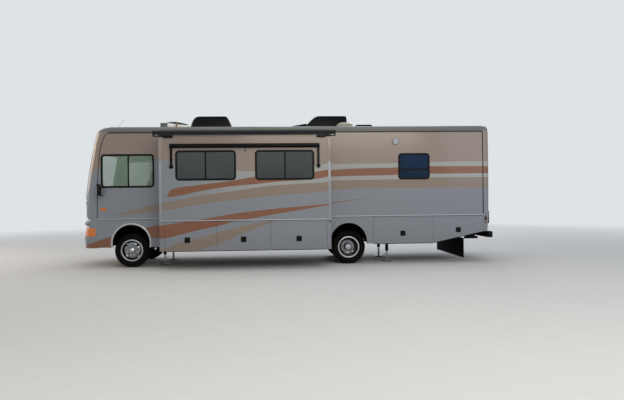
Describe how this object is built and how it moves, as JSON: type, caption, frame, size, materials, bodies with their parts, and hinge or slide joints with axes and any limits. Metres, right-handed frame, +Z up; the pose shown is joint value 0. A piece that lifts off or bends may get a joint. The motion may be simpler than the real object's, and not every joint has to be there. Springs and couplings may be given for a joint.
{
  "type": "motorhome",
  "caption": "Motorhome with a flat front, a room that slides out of its side, storage doors, twin rear wheels, awnings, roof coolers and levelling jacks.",
  "frame": {"origin": "centre of the parked vehicle's box, on the ground, with the room extended", "axes": "+X to the rear along the body, +Y to the passenger's side, +Z up"},
  "size_m": [10.168, 3.756, 3.725],
  "materials": {
    "chassis_black": "satin black frame paint",
    "engine_iron": "cast and painted",
    "axle_steel": "satin black",
    "jack_steel": "machined and plated",
    "floor_board": "laminated board",
    "bay_liner": "grey moulded liner",
    "body_paint": "clear-coated taupe and silver with stripes",
    "cap_paint": "clear-coated glass-fibre moulding",
    "roof_skin": "pale glass-fibre sheet",
    "clear_glass": "lightly tinted",
    "dark_glass": "dark privacy tint",
    "lamp_lens": "moulded lens",
    "grille_black": "moulded bars",
    "liner_plastic": "textured black",
    "frame_black": "powder-coated black",
    "shroud_plastic": "moulded black",
    "fitting_plastic": "moulded pale grey",
    "ladder_aluminium": "anodised tube",
    "bumper_steel": "satin black",
    "mirror_plastic": "painted housing",
    "cab_trim": "tan cloth and trim",
    "awning_black": "black anodised",
    "awning_fabric": "coated awning cloth",
    "wheel_aluminium": "polished",
    "tyre": "road tyre"
  },
  "bodies": {
    "coach": {"chassis_frame": "chassis_black", "engine_block": "engine_iron", "fuel_tank": "chassis_black", "front_axle": "axle_steel", "rear_axle": "axle_steel", "levelling_jacks": "jack_steel", "floor": "floor_board", "entry_step": "liner_plastic", "storage_bays": "bay_liner", "left_wall": "body_paint", "right_wall": "body_paint", "skirts": "body_paint", "roof": "roof_skin", "front_cap": "cap_paint", "windscreen": "clear_glass", "front_fascia": "cap_paint", "front_lamps": "lamp_lens", "tail_lamps": "lamp_lens", "grille": "grille_black", "rear_cap": "body_paint", "splash_guards": "liner_plastic", "window_frames": "frame_black", "side_glass": "dark_glass", "air_conditioners": "shroud_plastic", "roof_fittings": "fitting_plastic", "ladder": "ladder_aluminium", "rear_bumper": "bumper_steel", "mirrors_and_wipers": "mirror_plastic", "cab_interior": "cab_trim", "patio_awning": "awning_black"},
    "room": {"room_shell": "body_paint", "room_window_frames": "frame_black", "room_glass": "dark_glass", "room_awnings": "awning_black", "topper_fabric": "awning_fabric"},
    "room_door_1": {"room_door_1": "body_paint"},
    "room_door_2": {"room_door_2": "body_paint"},
    "room_door_3": {"room_door_3": "body_paint"},
    "rear_left_door_1": {"rear_left_door_1": "body_paint"},
    "rear_left_door_2": {"rear_left_door_2": "body_paint"},
    "right_door_1": {"right_door_1": "body_paint"},
    "right_door_2": {"right_door_2": "body_paint"},
    "right_door_3": {"right_door_3": "body_paint"},
    "entry_door": {"entry_door": "body_paint", "entry_glass": "dark_glass"},
    "left_knuckle": {"left_knuckle": "axle_steel"},
    "right_knuckle": {"right_knuckle": "axle_steel"},
    "front_left_wheel": {"front_left_wheel": "wheel_aluminium", "front_left_tyre": "tyre"},
    "rear_left_wheels": {"rear_left_wheels": "wheel_aluminium", "rear_left_tyres": "tyre"},
    "front_right_wheel": {"front_right_wheel": "wheel_aluminium", "front_right_tyre": "tyre"},
    "rear_right_wheels": {"rear_right_wheels": "wheel_aluminium", "rear_right_tyres": "tyre"}
  },
  "joints": [
    {"name": "room_slide", "type": "slide", "parent": "coach", "child": "room", "axis": [0, 1, 0], "range_m": [0, 0.705], "deforming": ["topper_fabric"]},
    {"name": "room_door_1_hinge", "type": "hinge", "parent": "room", "child": "room_door_1", "pos_m": [-1.033, -1.7623, 1.12], "axis": [-1, 0, 0], "range_deg": [0, 95]},
    {"name": "room_door_2_hinge", "type": "hinge", "parent": "room", "child": "room_door_2", "pos_m": [-1.033, -1.7623, 1.12], "axis": [-1, 0, 0], "range_deg": [0, 95]},
    {"name": "room_door_3_hinge", "type": "hinge", "parent": "room", "child": "room_door_3", "pos_m": [-1.033, -1.7623, 1.12], "axis": [-1, 0, 0], "range_deg": [0, 95]},
    {"name": "rear_left_door_1_hinge", "type": "hinge", "parent": "coach", "child": "rear_left_door_1", "pos_m": [3.167, -1.0023, 1.155], "axis": [-1, 0, 0], "range_deg": [0, 95]},
    {"name": "rear_left_door_2_hinge", "type": "hinge", "parent": "coach", "child": "rear_left_door_2", "pos_m": [3.167, -1.0023, 1.155], "axis": [-1, 0, 0], "range_deg": [0, 95]},
    {"name": "right_door_1_hinge", "type": "hinge", "parent": "coach", "child": "right_door_1", "pos_m": [0.167, 1.5983, 1.155], "axis": [1, 0, 0], "range_deg": [0, 95]},
    {"name": "right_door_2_hinge", "type": "hinge", "parent": "coach", "child": "right_door_2", "pos_m": [0.167, 1.5983, 1.155], "axis": [1, 0, 0], "range_deg": [0, 95]},
    {"name": "right_door_3_hinge", "type": "hinge", "parent": "coach", "child": "right_door_3", "pos_m": [0.167, 1.5983, 1.155], "axis": [1, 0, 0], "range_deg": [0, 95]},
    {"name": "entry_door_hinge", "type": "hinge", "parent": "coach", "child": "entry_door", "pos_m": [-3.147, 1.6013, 1.9], "axis": [0, 0, 1], "range_deg": [0, 110]},
    {"name": "left_steering", "type": "hinge", "parent": "coach", "child": "left_knuckle", "pos_m": [-3.833, -0.582, 0.41], "axis": [0, 0, 1], "range_deg": [-40, 40]},
    {"name": "front_left_spin", "type": "hinge", "parent": "left_knuckle", "child": "front_left_wheel", "pos_m": [-3.833, -0.717, 0.41], "axis": [0, 1, 0], "continuous": true},
    {"name": "rear_left_spin", "type": "hinge", "parent": "coach", "child": "rear_left_wheels", "pos_m": [1.45, -0.579, 0.41], "axis": [0, 1, 0], "continuous": true},
    {"name": "right_steering", "type": "hinge", "parent": "coach", "child": "right_knuckle", "pos_m": [-3.833, 1.178, 0.41], "axis": [0, 0, 1], "range_deg": [-40, 40]},
    {"name": "front_right_spin", "type": "hinge", "parent": "right_knuckle", "child": "front_right_wheel", "pos_m": [-3.833, 1.313, 0.41], "axis": [0, 1, 0], "continuous": true},
    {"name": "rear_right_spin", "type": "hinge", "parent": "coach", "child": "rear_right_wheels", "pos_m": [1.45, 1.175, 0.41], "axis": [0, 1, 0], "continuous": true}
  ],
  "couplings": [
    {"joint": "right_steering", "follows": "left_steering", "ratio": 1}
  ]
}
